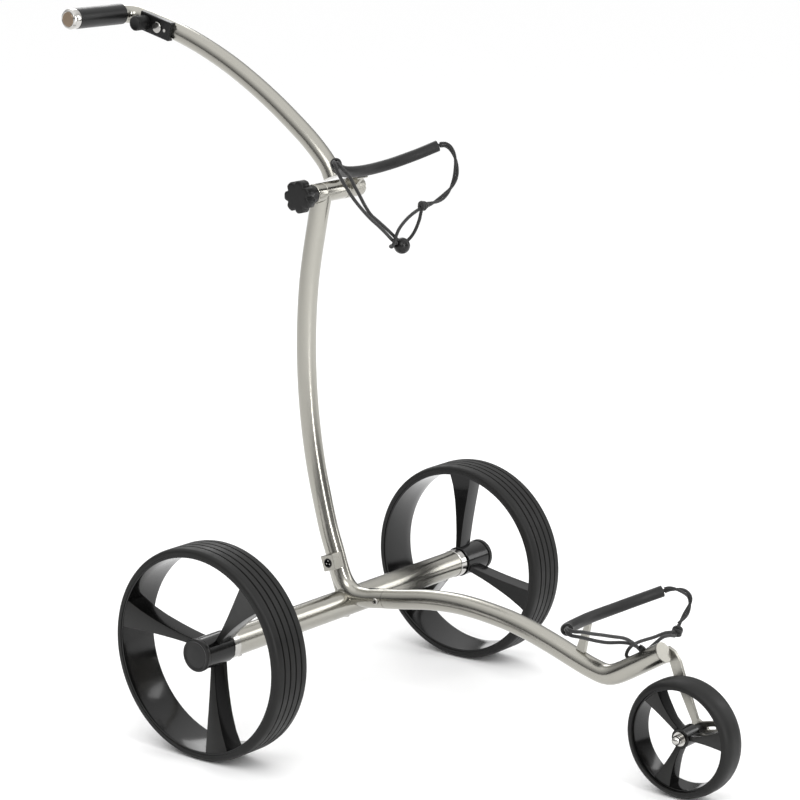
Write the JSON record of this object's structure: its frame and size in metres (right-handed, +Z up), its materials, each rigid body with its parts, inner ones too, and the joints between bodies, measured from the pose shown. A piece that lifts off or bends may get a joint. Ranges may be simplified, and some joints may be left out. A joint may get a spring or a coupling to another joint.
{
  "type": "golf trolley",
  "caption": "Three-wheeled stainless golf trolley with a bowed stem, single-sided handle grip, two curved bag supports with elastic cords, and motors in the axle.",
  "frame": {"origin": "on the floor, under the middle of the trolley's box", "axes": "+Z up, -Y towards the front wheel, +Y towards the handle, +X towards the side that the star knob is not on"},
  "size_m": [0.628, 1.09, 0.9561],
  "materials": {
    "brushed_stainless": "satin, brushed along the tubes",
    "bright_steel": "polished",
    "tyre": "matte rubber",
    "rim_black": "gloss black",
    "black_plastic": "satin black",
    "sleeve_rubber": "satin rubber",
    "black_screw": "blackened steel",
    "motor_case": "painted can",
    "cord": "braided elastic cord"
  },
  "bodies": {
    "frame": {"axle_tube": "brushed_stainless", "axle_screw_left": "bright_steel", "axle_screw_middle": "bright_steel", "axle_screw_right": "bright_steel", "end_collar_left": "brushed_stainless", "end_collar_right": "brushed_stainless", "motor_left": "motor_case", "motor_right": "motor_case", "stem_tube": "brushed_stainless", "cable_conduit": "brushed_stainless", "socket_box": "brushed_stainless", "socket_insert": "black_plastic", "stem_knuckle": "brushed_stainless", "upper_support_bracket": "brushed_stainless", "clamp_bolt": "brushed_stainless", "upper_support_bar": "bright_steel", "upper_support_sleeve": "sleeve_rubber", "leg_lock_screw": "bright_steel", "upper_cord_near_a": "cord", "upper_cord_near_b": "cord", "upper_loop_cord": "cord", "upper_cord_far": "cord", "upper_knot": "cord", "toggle_ball": "black_plastic"},
    "star_knob": {"star_knob": "black_plastic"},
    "handle": {"handle_knuckle": "brushed_stainless", "handle_tube": "brushed_stainless", "grip_sleeve": "sleeve_rubber", "grip_end_cap": "bright_steel", "control_housing": "black_plastic", "housing_screw": "bright_steel"},
    "push_button": {"push_button": "bright_steel"},
    "speed_knob": {"speed_knob": "black_plastic"},
    "front_leg": {"front_tube": "brushed_stainless", "front_end_cap": "brushed_stainless", "leg_screw": "black_screw", "fork_arm": "brushed_stainless", "front_axle_bolt": "bright_steel", "front_axle_nut": "bright_steel", "front_spacer": "black_plastic", "lower_support_post": "brushed_stainless", "lower_support_bar": "bright_steel", "lower_support_sleeve": "sleeve_rubber", "lower_cord_near_a": "cord", "lower_cord_near_b": "cord", "lower_loop_cord": "cord", "lower_cord_far": "cord", "lower_knot": "cord"},
    "front_wheel": {"front_rim": "rim_black", "front_tyre": "tyre", "front_bearing_near": "bright_steel", "front_bearing_far": "bright_steel"},
    "left_wheel": {"rim_left": "rim_black", "tyre_left": "tyre", "drive_shaft_left": "bright_steel"},
    "left_cap": {"hub_cap_left": "black_plastic"},
    "right_wheel": {"rim_right": "rim_black", "tyre_right": "tyre", "drive_shaft_right": "bright_steel"},
    "right_cap": {"hub_cap_right": "black_plastic"}
  },
  "joints": [
    {"name": "handle_fold", "type": "hinge", "parent": "frame", "child": "handle", "pos_m": [0, 0.15075, 0.7208], "axis": [1, 0, 0], "range_deg": [-112, 0]},
    {"name": "star_knob_turn", "type": "hinge", "parent": "frame", "child": "star_knob", "pos_m": [-0.0226, 0.15075, 0.7208], "axis": [1, 0, 0], "range_deg": [-360, 360]},
    {"name": "speed_knob_turn", "type": "hinge", "parent": "handle", "child": "speed_knob", "pos_m": [0.01, 0.48615, 0.9317], "axis": [-1, 0, 0], "range_deg": [0, 270]},
    {"name": "push_button_press", "type": "slide", "parent": "handle", "child": "push_button", "axis": [1, 0, 0], "range_m": [0, 0.0015], "stiffness_N_per_m": 400, "springref_m": -0.0005},
    {"name": "front_leg_plug", "type": "slide", "parent": "frame", "child": "front_leg", "axis": [0, -0.988, 0.1544], "range_m": [0, 0.035]},
    {"name": "front_wheel_spin", "type": "hinge", "parent": "front_leg", "child": "front_wheel", "pos_m": [-0.0217, -0.46595, 0.079], "axis": [1, 0, 0], "continuous": true},
    {"name": "left_wheel_spin", "type": "hinge", "parent": "frame", "child": "left_wheel", "pos_m": [-0.283, 0.11205, 0.145], "axis": [1, 0, 0], "continuous": true},
    {"name": "left_cap_pull", "type": "slide", "parent": "left_wheel", "child": "left_cap", "axis": [-1, 0, 0], "range_m": [0, 0.004], "stiffness_N_per_m": 500, "springref_m": -0.001},
    {"name": "right_wheel_spin", "type": "hinge", "parent": "frame", "child": "right_wheel", "pos_m": [0.283, 0.11205, 0.145], "axis": [1, 0, 0], "continuous": true},
    {"name": "right_cap_pull", "type": "slide", "parent": "right_wheel", "child": "right_cap", "axis": [1, 0, 0], "range_m": [0, 0.004], "stiffness_N_per_m": 500, "springref_m": -0.001}
  ]
}
